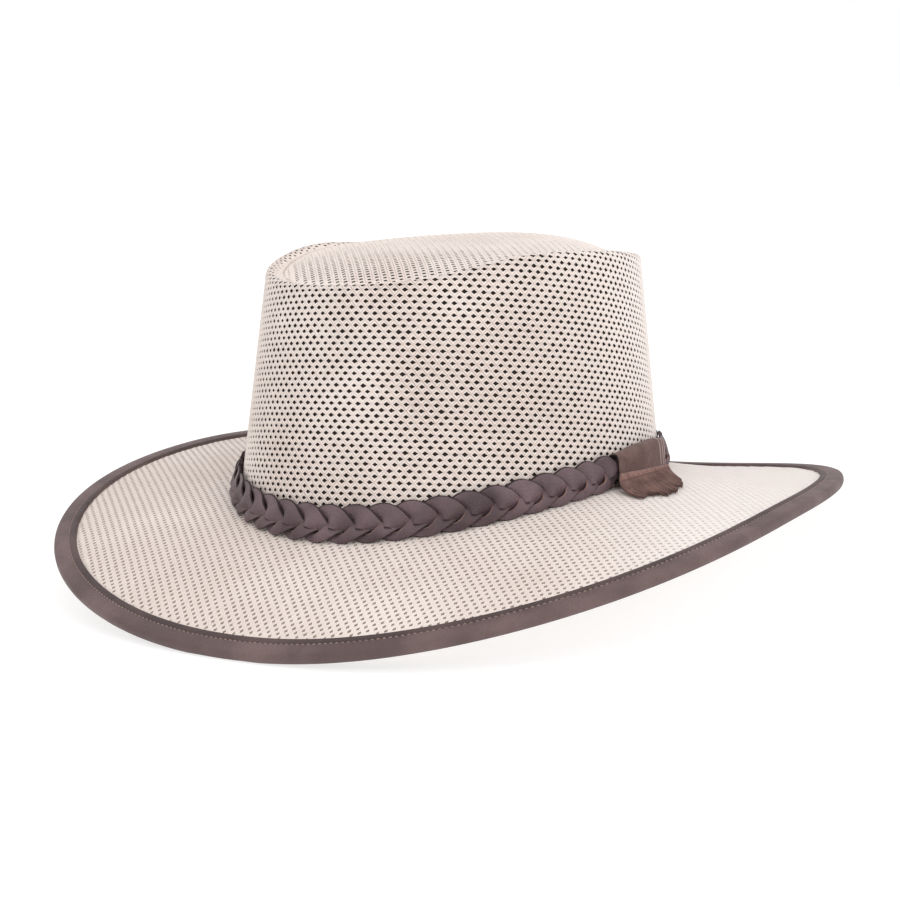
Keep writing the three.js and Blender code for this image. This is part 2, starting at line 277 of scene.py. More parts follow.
def capped_tube(section, first=0):
    """A tube through closed rows of points, with a flat face at each end."""
    rows, count = section.shape[:2]
    faces = joined_rows(section, first, ring=False)
    faces.append(tuple(first + j for j in reversed(range(count))))
    faces.append(tuple(first + (rows - 1) * count + j for j in range(count)))
    return faces


def gathered(sections, join):
    """The points and faces of many tubes or rings, joined one by one."""
    points, faces = [], []
    for section in sections:
        faces += join(section, sum(len(part) for part in points))
        points.append(section.reshape(-1, 3))
    return np.concatenate(points), faces


def sew_on(piece):
    """A piece that comes on top of the solids, such as stitches."""
    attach(piece, "root")


def dress(piece, node):
    """A piece that is drawn in place of a solid."""
    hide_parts(node)
    sew_on(piece)


# %% [markdown]
# A finish is a Principled shader with a few nodes in front of it. Wires between nodes are written
# as sums: a Wire stands for a node's output, and plus or times adds the Math node that does it.

# %% Wires and finishes
class Wire:
    """An output of a node, or a sum of outputs."""

    def __init__(self, finish, socket):
        self.finish = finish
        self.socket = socket

    def worked(self, operation, *others):
        return self.finish.maths(operation, self, *others)

    def __add__(self, other):
        return self.worked("ADD", other)

    def __sub__(self, other):
        return self.worked("SUBTRACT", other)

    def __mul__(self, other):
        return self.worked("MULTIPLY", other)

    def spread(self, low, high):
        """The value, eased so that it runs from 0 at low to 1 at high."""
        return self.finish.node("MapRange", {"interpolation_type": "SMOOTHSTEP"}, {0: self, 1: low, 2: high})


class Finish:
    """One material. Constants are set on its shader, and what varies is built up from nodes."""

    def __init__(self, name, **constants):
        self.material = bpy.data.materials.new(name)
        self.material.use_nodes = True
        self.tree = self.material.node_tree
        self.shader = self.tree.nodes["Principled BSDF"]
        for socket, value in constants.items():
            self.shader.inputs[socket.replace("_", " ")].default_value = value

    def node(self, kind, settings=(), inputs=(), output=0):
        made = self.tree.nodes.new("ShaderNode" + kind)
        for setting, value in dict(settings).items():
            setattr(made, setting, value)
        for socket, value in dict(inputs).items():
            self.plug(made.inputs[socket], value)
        return Wire(self, made.outputs[output])

    def plug(self, socket, value):
        if isinstance(value, Wire):
            self.tree.links.new(value.socket, socket)
        else:
            socket.default_value = value

    def maths(self, operation, *values):
        return self.node("Math", {"operation": operation}, dict(enumerate(values)))

    def mixed(self, factor, first, second):
        return self.node("Mix", {"data_type": "RGBA"}, {0: factor, 6: first, 7: second}, 2)

    def place(self):
        return self.node("TexCoord", output="Object")

    def noise(self, place, scale, detail=2.0, roughness=0.5):
        inputs = {"Vector": place, "Scale": scale, "Detail": detail, "Roughness": roughness}
        return self.node("TexNoise", {}, inputs)

    def shine(self, socket, value):
        self.plug(self.shader.inputs[socket], value)

    def bump(self, height, distance, strength):
        inputs = {"Height": height, "Distance": distance, "Strength": strength}
        self.shine("Normal", self.node("Bump", {}, inputs))


def rgb(red, green, blue):
    """A colour given as it looks on a screen, from 0 to 255."""
    screen = np.array((red, green, blue)) / 255
    linear = np.where(screen <= 0.04045, screen / 12.92, ((screen + 0.055) / 1.055) ** 2.4)
    return (*linear.tolist(), 1.0)


# %% [markdown]
# The cloth is a knitted net of pale yarn. At this size the holes are real, so the finish only has
# to add the yarn: fine slanted ribs that follow the panel, a little fluff, slow changes of tone
# and painted shade in the dips between the yarns. Toward the wearer's left and back the cloth and
# the walls of its holes are paler: this is painted light. The brim's hole walls are yarn painted
# in shade. The dark brown weave behind the crown's net, which also lines its pits, is painted
# shade that stands in for the dark inside of the crown.

# %% Cloth finish
YARN = rgb(240, 226, 217)
YARN_SHADE = rgb(168, 148, 140)
YARN_LIGHT = rgb(249, 239, 232)
PAINTED_LIGHT_TINT = rgb(252, 243, 238)
PAINTED_LIGHT_WAY = (0.83, 0.55, 0)
PAINTED_LIGHT_START = 30 * MM
PAINTED_LIGHT_END = 110 * MM
FLUFF_SCALE = 1500.0


def painted_light_share(finish, place):
    """How much painted light lies on the cloth: 0 at the wearer's right, 1 at the left and back."""
    inputs = {0: place, 1: PAINTED_LIGHT_WAY}
    along = finish.node("VectorMath", {"operation": "DOT_PRODUCT"}, inputs, output="Value")
    return along.spread(PAINTED_LIGHT_START, PAINTED_LIGHT_END)


def cloth_finish():
    finish = Finish("cooling_cloth", Roughness=0.88, Sheen_Weight=0.25, Sheen_Roughness=0.5)
    panel = finish.node("UVMap", {"uv_map": "panel"})
    place = finish.place()
    inputs = {"Vector": panel, "Scale": 620.0, "Distortion": 1.2, "Detail": 1.0}
    ribs = finish.node("TexWave", {"bands_direction": "DIAGONAL"}, inputs, output="Fac")
    fluff = finish.noise(place, FLUFF_SCALE, 3.0, 0.6)
    tone = finish.noise(place, 18.0, 2.0)
    dip = finish.node("Attribute", {"attribute_name": "shade"}, output="Fac")
    # Painted shade: the shade attribute darkens the dips between yarns toward YARN_SHADE, mixed with the
    # ribs and fluff.
    yarn_with_painted_shade = finish.mixed(ribs * 0.1 + fluff * 0.15 + dip * dip * 0.85, YARN, YARN_SHADE)
    toned = finish.mixed(tone.spread(0.35, 0.75) * 0.5, yarn_with_painted_shade, YARN_LIGHT)
    # Painted light: the cloth is paler toward the wearer's left and back.
    finish.shine("Base Color", finish.mixed(painted_light_share(finish, place) * 0.8, toned, PAINTED_LIGHT_TINT))
    finish.bump(ribs * 0.6 + fluff * 0.4, 0.18 * MM, 0.5)
    return finish.material


# Painted shade: a dark brown weave for the sheet behind the crown's net and the walls of its pits.
def dark_backing_shade_finish():
    finish = Finish("dark_backing_and_pit_shade", Roughness=0.95)
    place = finish.place()
    weave = finish.noise(place, 900.0, 3.0)
    finish.shine("Base Color", finish.mixed(weave, rgb(30, 21, 18), rgb(46, 34, 29)))
    finish.bump(weave, 0.2 * MM, 0.4)
    return finish.material


def hole_wall_shade_finish():
    """Yarn painted in shade, down inside the brim's holes, and paler toward the wearer's left and back,
    which is painted light.
    """
    finish = Finish("cloth_in_holes_painted_shade", Roughness=0.95)
    place = finish.place()
    fluff = finish.noise(place, FLUFF_SCALE, 3.0, 0.6)
    yarn_with_painted_shade = finish.mixed(fluff, rgb(156, 136, 127), rgb(200, 180, 170))
    finish.shine("Base Color", finish.mixed(painted_light_share(finish, place), yarn_with_painted_shade, PAINTED_LIGHT_TINT))
    return finish.material


CLOTH_FINISH = cloth_finish()
DARK_BACKING_SHADE_FINISH = dark_backing_shade_finish()
HOLE_WALL_SHADE_FINISH = hole_wall_shade_finish()

# %% [markdown]
# The net is real geometry: a sheet of diamond tiles, each with a diamond hole. It could be a
# texture with see-through holes, but then it would have no thickness, and the holes would not
# close up toward the sides of the crown as they do on the real hat. Close to an edge the holes
# shrink away, because there the cloth is sewn. Behind the crown's net lies a thin dark brown
# sheet, so there each hole is a pit with a raised ring of yarn round it. The sheet and the walls
# of the pits are painted shade, which stands in for the shaded inside of the crown that the
# photograph shows through the holes.

# %% Net builder
PITCH = 4 * MM
HOLE_BEHIND = 1.0 * MM
HOLE_AHEAD = 1.26 * MM
WALL_NET = {"row": 2.38 * MM, "tall": 0.9 * MM, "wide": 1.16, "rise": 0.2 * MM, "backed": True}
TIP_NET = {"row": 2.5 * MM, "tall": 0.92 * MM, "wide": 1, "rise": 0.08 * MM, "backed": True}
BRIM_NET = {"row": 2.5 * MM, "tall": 0.78 * MM, "wide": 1, "rise": 0.3 * MM, "backed": False}
PIT = 0.5 * MM
BACKED_THICKNESS = 1.45 * MM
OPEN_THICKNESS = 0.9 * MM
YARN_SINK = 0.08 * MM
RING_SHARE = 0.45
SMALLEST_HOLE = 0.3
OPEN_NET_SHADE = 0.5
EDGE_OVERHANG = 0.4 * PITCH
HOLE_FREE_EDGE = 0.2 * PITCH
HOLES_GROW_OVER = 0.5 * PITCH
SIZE_SPREAD = 0.05
PLACE_SPREAD = 0.04 * MM
SMALLEST_FACE = 1e-4 * MM ** 2


def net_tiles(border, span, row):
    """The tiles of a sheet: their middles, how far inside the sheet's edge these are, the corners
    that neighbours share, and the four corners of each tile."""
    step = np.array((PITCH / 2, row))
    low, high = np.floor(np.array(span[0]) / step), np.ceil(np.array(span[1]) / step)
    columns, lines = (np.arange(low[k], high[k] + 1).astype(int) for k in (0, 1))
    tiles = np.stack(np.meshgrid(columns, lines, indexing="ij"), -1).reshape(-1, 2)
    tiles = tiles[tiles.sum(axis=1) % 2 == 0]
    inside = border(*(tiles * step).T)
    kept = inside > -EDGE_OVERHANG
    tiles, inside = tiles[kept], inside[kept]
    keys = tiles[:, None] + np.array(((1, 0), (0, 1), (-1, 0), (0, -1)))
    corners, corner = np.unique(keys.reshape(-1, 2), axis=0, return_inverse=True)
    return tiles * step, inside, corners * step, corner.reshape(-1, 4)


def holes_in(middles, size, sort, chance):
    """The four corners of each hole: ahead, above, behind and below."""
    ahead, behind, tall = HOLE_AHEAD * sort["wide"], HOLE_BEHIND * sort["wide"], sort["tall"]
    middles = middles + PLACE_SPREAD * chance.standard_normal(middles.shape)
    reach = np.array(((ahead, 0), (0, tall), (-behind, 0), (0, -tall)))
    return middles[:, None] + reach * size[:, None, None]


def belt(outer, inner):
    """Quads between two loops of four points, in every tile at once."""
    after_outer, after_inner = np.roll(outer, -1, axis=1), np.roll(inner, -1, axis=1)
    return np.stack([outer, after_outer, after_inner, inner], -1).reshape(-1, 4)


def sheet_edge(corner, down):
    """Quads down the sheet's own edge, along the tile sides that only one tile has."""
    sides = np.stack([corner, np.roll(corner, -1, axis=1)], -1).reshape(-1, 2)
    _, first, count = np.unique(np.sort(sides, axis=1), axis=0, return_index=True, return_counts=True)
    near, far = sides[first[count == 1]].T
    return np.stack([far, near, near + down, far + down], 1)


def net_faces(corner, open_tile, n_corner, backed):
    """The quads of a net in four groups: top, walls of the holes, the sheet's edge and underside."""
    tile, closed = corner[open_tile], corner[~open_tile]
    hole = n_corner + np.arange(tile.size).reshape(-1, 4)
    ring = hole + tile.size
    down = n_corner + tile.size * (2 if backed else 1)
    if backed:
        top = [belt(tile, ring), belt(ring, hole), closed]
        under = [hole, corner[:, ::-1]]
    else:
        top = [belt(tile, hole), closed]
        under = [belt(hole, tile), closed[:, ::-1]]
    return (np.concatenate(top), belt(hole, hole + down), sheet_edge(corner, down),
            np.concatenate(under) + down)


def net(name, place, border, span, sort, seed):
    """A sheet of holes. Place turns panel points and lifts into 3D, border says how far inside
    the sheet's edge a panel point is, and span is the panel's lowest and highest corner."""
    backed, chance = sort["backed"], np.random.default_rng(seed)
    middles, inside, corners, corner = net_tiles(border, span, sort["row"])
    size = smooth((inside - HOLE_FREE_EDGE) / HOLES_GROW_OVER)
    size = size * (1 + SIZE_SPREAD * chance.standard_normal(len(size)))
    open_tile = size > SMALLEST_HOLE
    holes = holes_in(middles[open_tile], size[open_tile], sort, chance)
    level = np.zeros(len(corners))
    raised = sort["rise"] * np.repeat(smooth(size[open_tile]), 4)
    flat = sheet = np.concatenate([corners, holes.reshape(-1, 2)])
    lift = np.concatenate([level, raised])
    depth = np.full(len(sheet), OPEN_THICKNESS)
    if backed:
        rings = holes * (1 - RING_SHARE) + corners[corner[open_tile]] * RING_SHARE
        flat = np.concatenate([sheet, rings.reshape(-1, 2)])
        lift = np.concatenate([level, raised * 0 - YARN_SINK, raised])
        depth = np.concatenate([level + BACKED_THICKNESS, raised * 0 + PIT])
    points = np.concatenate([place(*flat.T, lift), place(*sheet.T, -depth)])

    groups = net_faces(corner, open_tile, len(corners), backed)
    faces = np.concatenate(groups)
    # The walls of the holes take the second finish: painted shade on the brim, and the dark backing's
    # painted shade in the crown.
    kinds = np.repeat([0, 1, 0, int(backed)], [len(group) for group in groups])
    spread = points[faces]
    area = length_of(np.cross(spread[:, 2] - spread[:, 0], spread[:, 3] - spread[:, 1]))
    real = area > SMALLEST_FACE
    # Painted shade: the corners between holes are darkened through the shade attribute, less on the open
    # brim.
    dip = level + 1
    np.minimum.at(dip, corner.ravel(), np.repeat(smooth(size), 4))
    shade = np.zeros(len(points))
    shade[:len(corners)] = dip if backed else OPEN_NET_SHADE * dip
    print(f"{name}: {len(holes)} holes of {PITCH / MM:.2f} mm pitch")
    return points, faces[real].tolist(), kinds[real], np.concatenate([flat, sheet]), shade


# %% [markdown]
# The crown's wall is cut from flat cloth and bent round, so its rows of holes run level at the
# front and fall toward the seam at the back, as they do on the hat. Each point of the flat panel
# is turned into a length along the crown's foot and a height up the wall. The panel is a little
# turned on the hat, and where the foot itself climbs along the wall, the rows keep their level.
# At the rim the net rolls over and runs down into the groove, where it is sewn to the tip.

# %% Crown wall
PANEL_RADIUS = 930 * MM
PANEL_SET = 34 * MM
WALL_DROP = 1.6 * MM
BEND_LENGTH = 4.9 * MM
SEAM_LAP = 2 * MM
SEAM_SINK = 0.15 * MM
SEAM_STEPS = 288
WALL_PANEL_WIDTH = 2.5
WALL_PANEL_LOW = -10 * MM
WALL_PANEL_HIGH = 200 * MM
turns = FRONT + np.linspace(-math.pi, math.pi, 1441)
foot_moves = np.diff(foot_at(turns), axis=0)
foot_steps = length_of(foot_moves)
foot_lengths = np.concatenate([[0], np.cumsum(foot_steps)]) - foot_steps.sum() / 2
HALF_ROUND = foot_lengths[-1]
foot_climbs = np.concatenate([[0], np.cumsum((foot_moves * wall_frame(turns)[2][1:]).sum(axis=1))])
foot_climbs = foot_climbs - foot_climbs[len(foot_climbs) // 2]


def angle_along(length):
    """The angle at a length along the crown's foot, from the front."""
    return np.interp(np.clip(length, -HALF_ROUND, HALF_ROUND), foot_lengths, turns)


def wall_top(angle):
    """How high up the wall the straight part ends and the bend starts."""
    foot, rim, _, _ = wall_frame(angle)
    return length_of(rim - foot) - RIM_ROUND


def unrolled(x, y):
    """A flat panel point as a length along the foot and a height up the wall."""
    beside, below = x - PANEL_SET, PANEL_RADIUS - y
    length = PANEL_SET + np.arctan2(beside, below) * PANEL_RADIUS
    return length, PANEL_RADIUS - np.hypot(beside, below) - np.interp(length, foot_lengths, foot_climbs)


def on_wall(x, y, lift):
    length, height = unrolled(x, y)
    angle = angle_along(length)
    top = wall_top(angle)
    past = np.clip(height - top, 0, BEND_LENGTH + LIP_WIDTH)
    straight = off_wall(angle, np.clip(height, -WALL_DROP, top), lift)
    lip, lip_up, bend = lip_frame(angle)
    out = wall_frame(angle)[3]
    way = unit(out + (lip_up - out) * each(np.clip(past / BEND_LENGTH, 0, 1)))
    over = bend + way * each(RIM_ROUND + lift) + lip * each(np.clip(past - BEND_LENGTH, 0, None))
    return np.where(each(past) > 0, over, straight)


def wall_border(x, y):
    length, height = unrolled(x, y)
    angle = angle_along(length)
    to_foot, to_seam = height + WALL_DROP, wall_top(angle) + BEND_LENGTH + LIP_WIDTH - height
    return np.minimum(np.minimum(to_foot, to_seam), HALF_ROUND - np.abs(length))


def seam_strip():
    """The strip under the groove that wall and tip are both sewn to, and its flat places."""
    angle = np.arange(SEAM_STEPS) * FULL_TURN / SEAM_STEPS
    lip, lip_up, bend = lip_frame(angle)
    middle = bend + lip_up * RIM_ROUND + lip * LIP_WIDTH
    top, under = PIT + SEAM_SINK, BACKED_THICKNESS
    corners = ((-SEAM_LAP, top), (SEAM_LAP, top), (SEAM_LAP, under), (-SEAM_LAP, under))
    section = np.stack([middle + lip * along - lip_up * deep for along, deep in corners], 1)
    around, across = np.meshgrid(angle * HEAD_WIDTH / 2, np.arange(len(corners)) * MM, indexing="ij")
    return section, np.stack([around.ravel(), across.ravel()], 1)


def crown_wall():
    half = WALL_PANEL_WIDTH / 2 * HALF_ROUND
    span = ((-half, WALL_PANEL_LOW), (half, WALL_PANEL_HIGH))
    points, faces, kinds, panel, shade = net("crown wall", on_wall, wall_border, span, WALL_NET, 11)
    section, flat = seam_strip()
    strip = joined_rows(section, len(points))
    faces += strip
    kinds = np.concatenate([kinds, np.zeros(len(strip), np.int32)])
    points, panel = np.concatenate([points, section.reshape(-1, 3)]), np.concatenate([panel, flat])
    shade = np.concatenate([shade, np.zeros(len(flat))])
    finishes = [CLOTH_FINISH, DARK_BACKING_SHADE_FINISH]
    dress(make_piece("crown_wall_net", points, faces, finishes, kinds, panel, shade), "crown_wall")


crown_wall()

# %% [markdown]
# The tip and the brim are cut flat. The tip's rows run across the hat, and the brim's nearly
# from front to back. Each point of a flat panel needs the angle and the share that lead to it.
# On the tip they follow from its direction and distance. On the brim they are searched with
# Newton's method. The surface then gives the height. Points past an edge are drawn back onto it.

# %% Crown tip and brim
BRIM_PITCH = (0.66 * MM, 3.44 * MM)
BRIM_TWO_ROWS = (-4.58 * MM, 0.16 * MM)
BRIM_PANEL_SPARE = 1.3
BINDING_OVERLAP = 0.85 * BINDING_LEAF
SEARCH_STEPS = 8
SEARCH_TURN = 0.3
SEARCH_PAST = 0.3
FINE_STEPS = 2881


def found_on(surface, x, y, angle, share):
    """The angle and share at which a surface passes through a place in plan."""
    step = 1e-4
    for _ in range(SEARCH_STEPS):
        here = surface(angle, share)
        by_angle = (surface(angle + step, share) - here) / step
        by_share = (surface(angle, share + step) - here) / step
        miss_x, miss_y = x - here[..., 0], y - here[..., 1]
        size = by_angle[..., 0] * by_share[..., 1] - by_angle[..., 1] * by_share[..., 0]
        size = np.where(np.abs(size) < 1e-9, 1e-9, size)
        turn = (miss_x * by_share[..., 1] - miss_y * by_share[..., 0]) / size
        angle = angle + np.clip(turn, -SEARCH_TURN, SEARCH_TURN)
        share = share + (by_angle[..., 0] * miss_y - by_angle[..., 1] * miss_x) / size
        share = np.clip(share, -SEARCH_PAST, 1 + SEARCH_PAST)
    return angle, share


def tip_place(x, y):
    """On the tip the angle follows from the direction alone."""
    angles = np.linspace(-math.pi, 3 * math.pi, FINE_STEPS)
    edge = tip_edge(angles) - TIP_CENTRE
    ways = np.unwrap(np.arctan2(edge[:, 1], edge[:, 0]))
    way = np.mod(np.arctan2(y - TIP_SET_BACK, x), FULL_TURN)
    angle = np.interp(way, ways, angles)
    reach = length_of((tip_edge(angle) - TIP_CENTRE)[..., :2])
    return angle, np.hypot(x, y - TIP_SET_BACK) / reach, reach


def on_tip(x, y, lift):
    angle, share, _ = tip_place(x, y)
    share = np.clip(share, 1e-3, 1)
    return tip_at(angle, share) + normal_at(tip_at, angle, share) * each(lift)


def tip_border(x, y):
    _, share, reach = tip_place(x, y)
    return (1 - share) * reach


def brim_place(run, cross):
    """The brim's panel lies turned by nearly a right angle, and is pulled a little out of square."""
    pitches, two_rows = run / PITCH, cross / (2 * BRIM_NET["row"])
    x, y = (pitches * BRIM_PITCH[k] + two_rows * BRIM_TWO_ROWS[k] for k in (0, 1))
    guess = np.arctan2(y / HEAD_LENGTH, x / HEAD_WIDTH)
    near, far = (length_of(place[..., :2]) for place in (off_wall(guess, 0, 0), edge_at(guess)))
    angle, share = found_on(brim_at, x, y, guess, (np.hypot(x, y) - near) / (far - near))
    return angle, share, brim_width(angle)


def on_brim(x, y, lift):
    angle, share, _ = brim_place(x, y)
    share = np.clip(share, 0, 1)
    return brim_at(angle, share) + normal_at(brim_at, angle, share) * each(lift)


def brim_border(x, y):
    """The holes run in under the band, and end under the binding's leaf."""
    _, share, width = brim_place(x, y)
    return np.minimum(share * width + BAND_THICKNESS, (1 - share) * width - BINDING_OVERLAP)


def crown_tip():
    half_width, half_length = TIP_WIDTH / 2, TIP_LENGTH / 2
    span = ((-half_width, TIP_SET_BACK - half_length), (half_width, TIP_SET_BACK + half_length))
    points, faces, kinds, panel, shade = net("crown tip", on_tip, tip_border, span, TIP_NET, 12)
    finishes = [CLOTH_FINISH, DARK_BACKING_SHADE_FINISH]
    dress(make_piece("crown_tip_net", points, faces, finishes, kinds, panel, shade), "crown_tip")


def brim():
    far = BRIM_PANEL_SPARE * (HEAD_LENGTH / 2 + BRIM_END)
    span = ((-far, -far), (far, far))
    points, faces, kinds, panel, shade = net("brim", on_brim, brim_border, span, BRIM_NET, 13)
    finishes = [CLOTH_FINISH, HOLE_WALL_SHADE_FINISH]
    dress(make_piece("brim_net", points, faces, finishes, kinds, panel, shade), "brim")


crown_tip()
brim()

# %% [markdown]
# Leather has a fine pebbled grain that a Voronoi texture gives, with wrinkles and patches of tone
# from noise. Suede has only a nap of noise, and painted shade darkens it at the fringe's cuts and
# tips. One function makes each leather of the hat, among them the binding's inner strip in painted
# shade, and another each suede, raw edge and thread, and the painted shade of creases.

# %% Leather and suede finishes
LEATHER_GRAIN = 1300.0


def leather_finish(name, dark, light, roughness):
    finish = Finish(name, Coat_Roughness=0.4)
    place = finish.place()
    pebbles = finish.node("TexVoronoi", {"feature": "F1"}, {"Vector": place, "Scale": LEATHER_GRAIN})
    wrinkles = finish.noise(place, 220.0, 4.0, 0.6)
    tone = finish.noise(place, 45.0, 3.0)
    colour = finish.mixed(tone.spread(0.3, 0.7), dark, light)
    finish.shine("Base Color", finish.mixed(pebbles * 0.45, colour, dark))
    finish.shine("Roughness", wrinkles * 0.25 + (roughness - 0.12))
    finish.bump(wrinkles - pebbles * 0.5, 0.6 * MM, 0.7)
    return finish.material


def suede_finish(name, dark, light):
    finish = Finish(name, Roughness=0.95, Sheen_Weight=0.1, Sheen_Roughness=0.4)
    place = finish.place()
    nap = finish.noise(place, 1100.0, 4.0, 0.65)
    patch = finish.noise(place, 160.0, 3.0)
    # Painted shade: the shade attribute darkens the suede toward a deep brown at a fringe's cuts and tips.
    shade = finish.node("Attribute", {"attribute_name": "shade"}, output="Fac")
    mix = nap * 0.6 + patch.spread(0.35, 0.65) * 0.4
    deep = (*(0.35 * part for part in dark[:3]), 1.0)
    finish.shine("Base Color", finish.mixed(shade, finish.mixed(mix, dark, light), deep))
    finish.bump(nap + patch * 0.5, 0.5 * MM, 0.7)
    return finish.material


BINDING_FINISH = leather_finish("binding_leather", rgb(88, 69, 68), rgb(118, 96, 94), 0.6)
INNER_STRIP_SHADE_FINISH = leather_finish("binding_inner_strip", rgb(66, 50, 49), rgb(92, 73, 71), 0.65)
BAND_FINISH = leather_finish("band_leather", rgb(70, 52, 56), rgb(118, 96, 102), 0.55)
RAW_EDGE_FINISH = suede_finish("raw_leather_edge", rgb(92, 62, 56), rgb(150, 116, 106))
CUT_SUEDE_FINISH = suede_finish("cut_suede_edge", rgb(150, 128, 120), rgb(206, 186, 178))
CREASE_SHADE_FINISH = suede_finish("painted_crease_shade", rgb(36, 24, 24), rgb(62, 44, 44))
SUEDE_FINISH = suede_finish("sleeve_suede", rgb(80, 57, 54), rgb(124, 97, 91))
FRINGE_FINISH = suede_finish("fringe_suede", rgb(92, 63, 57), rgb(160, 124, 115))
THREAD_FINISH = suede_finish("stitching_thread", rgb(126, 104, 96), rgb(178, 154, 144))
FRINGE_THREAD_FINISH = suede_finish("fringe_thread", rgb(112, 66, 58), rgb(156, 106, 96))

# %% [markdown]
# The edge is bound with one strip of leather, folded round the cloth and stitched through. Its
# section is drawn once in two directions, out from the hat and square to the cloth, and carried
# round the edge. The stitches lie in a shallow groove. Where the hat rests the leather is flat.

# %% Brim binding
BINDING_STEPS = 480
STITCH_FROM_EDGE = 3 * MM
STITCH_GROOVE = 0.4 * MM
STITCH_PITCH = 2.3 * MM
STITCH_LENGTH = 1.5 * MM
STITCH_RADIUS = 0.28 * MM
STITCH_SIDES = 6
STITCH_STATIONS = ((0, -0.9, 0.35), (0.14, 0.1, 0.85), (0.5, 0.55, 1), (0.86, 0.1, 0.85), (1, -0.9, 0.35))
BINDING_GRIP = 0.35 * MM
INNER_STRIP_SIDES = 4


def binding_frame(angle):
    step = 0.01
    out = unit(brim_at(angle, np.ones_like(angle)) - brim_at(angle, np.full_like(angle, 1 - step)))
    normal = normal_at(brim_at, angle, np.ones_like(angle))
    return edge_at(angle) - normal * CLOTH / 2, out, normal


def leaf_profile():
    """One half of the binding's outside, from the leaf's cut edge to the nose."""
    half, stitch = BINDING_THICKNESS / 2, -BINDING_LEAF + STITCH_FROM_EDGE
    profile = [(-BINDING_LEAF, half - 0.55 * MM), (-BINDING_LEAF + 0.12 * MM, half - 0.2 * MM),
               (-BINDING_LEAF + 0.45 * MM, half), (stitch - 0.6 * MM, half), (stitch, half - STITCH_GROOVE),
               (stitch + 0.6 * MM, half), (-0.4 * MM, half + 0.1 * MM)]
    nose = CLEARANCE + BINDING_LEATHER
    for turn in np.radians((68, 46, 23)):
        profile.append((nose * math.cos(turn), half * math.sin(turn)))
    return profile


def binding_profile():
    upper = leaf_profile()
    nose = [(CLEARANCE + BINDING_LEATHER, 0)]
    lower = [(a, -b) for a, b in reversed(upper)]
    pocket = CLOTH / 2 - BINDING_GRIP
    inside = [(-BINDING_LEAF, -pocket), (CLEARANCE, -pocket), (CLEARANCE, pocket), (-BINDING_LEAF, pocket)]
    return np.array(upper + nose + lower + inside)


def stitch_section(start, end, normal):
    """The rings of points along one rounded stitch, which dips into the leather at both ends."""
    side = unit(np.cross(end - start, normal))
    turn = np.arange(STITCH_SIDES) * FULL_TURN / STITCH_SIDES
    ring = each(np.cos(turn)) * side + each(np.sin(turn)) * normal
    rows = []
    for share, lift, size in STITCH_STATIONS:
        centre = start + (end - start) * share + normal * STITCH_RADIUS * lift
        rows.append(centre + STITCH_RADIUS * size * ring)
    return np.stack(rows)


def stitch_bodies(starts, ends, normals):
    return gathered([stitch_section(*places) for places in zip(starts, ends, normals)], capped_tube)


def binding():
    angle = np.arange(BINDING_STEPS) * FULL_TURN / BINDING_STEPS
    middle, out, normal = binding_frame(angle)
    profile = binding_profile()
    points = middle[:, None] + out[:, None] * each(profile[:, 0]) + normal[:, None] * each(profile[:, 1])
    points[..., 2] = np.maximum(points[..., 2], 0)
    faces = [face[::-1] for face in joined_rows(points)]
    # Painted shade: the strip between the upper leaf's cut edge and the stitches takes a darker copy of the
    # leather.
    shaded_inner_strip = [int(i % len(profile) < INNER_STRIP_SIDES) for i in range(len(faces))]
    piece = make_piece("edge_binding", points, faces, [BINDING_FINISH, INNER_STRIP_SHADE_FINISH], shaded_inner_strip)
    dress(piece, "brim_binding")


def along_line(line, lengths, where):
    """A line's points, or what belongs to them, at some lengths along it."""
    return np.stack([np.interp(where, lengths, line[:, k]) for k in range(3)], 1)


def binding_stitches(side):
    """Stitches at an even pitch on the upper leaf (side 1) or the lower one (side -1)."""
    middle, out, normal = binding_frame(np.linspace(0, FULL_TURN, FINE_STEPS))
    line = middle - out * (BINDING_LEAF - STITCH_FROM_EDGE)
    line = line + normal * side * (BINDING_THICKNESS / 2 - STITCH_GROOVE)
    lengths = np.concatenate([[0], np.cumsum(length_of(np.diff(line, axis=0)))])
    count = int(lengths[-1] / STITCH_PITCH)
    begin = np.arange(count) * lengths[-1] / count
    starts, ends = (along_line(line, lengths, where) for where in (begin, begin + STITCH_LENGTH))
    points, faces = stitch_bodies(starts, ends, along_line(normal, lengths, begin) * side)
    name = "binding_stitches_top" if side > 0 else "binding_stitches_under"
    sew_on(make_piece(name, points, faces, [THREAD_FINISH]))
    print(f"{name}: {count} stitches round {lengths[-1] / MM:.0f} mm")


binding()
binding_stitches(1)
binding_stitches(-1)

# %% [markdown]
# The band is a flat plait of three leather strips. Each strip swings between the band's edges
# while it goes in and out, a third of a turn behind the one before, and it leans so that its
# edges slip under its neighbours. Twice as many swings in depth as in height make the plait. The
# strips are widest at the top, and at the bottom they kick out and rest on the sloping brim.

# %% Plaited band
STRANDS = 3
STRAND_SWINGS = BAND_LOBES // STRANDS
STRAND_STEPS = 32
STRAND_WIDTH = 6.9 * MM
STRAND_SWELL = 0.48
STRAND_LEATHER = 1.15 * MM
STRAND_DEPTH = 1.3 * MM
STRAND_LEAN = 0.24
BAND_KICK = 1.1 * MM
SLEEVE_HUG = 0.16
SQUEEZE_FADE = 0.55 * FULL_TURN / (2 * BAND_LOBES)
LOW_SWING = -0.15
STRAND_SECTION = ((-1, -0.3), (-1, 0.1), (-0.91, 0.3), (-0.7, 0.46), (-0.35, 0.6), (0, 0.66),
                  (0.35, 0.6), (0.7, 0.46), (0.91, 0.3), (1, 0.1), (1, -0.3), (0, -0.34))
LOWER_EDGE = (0, 1)
UPPER_EDGE = (8, 9)


def squeeze(angle):
    """How far the sleeve presses the band together: 1 inside it, 0 away from it."""
    centre = (SLEEVE_START + SLEEVE_END) / 2
    turn = np.mod(angle - centre + math.pi, FULL_TURN) - math.pi
    past = np.abs(turn) - (SLEEVE_END - SLEEVE_START) / 2
    return 1 - smooth(past / SQUEEZE_FADE)


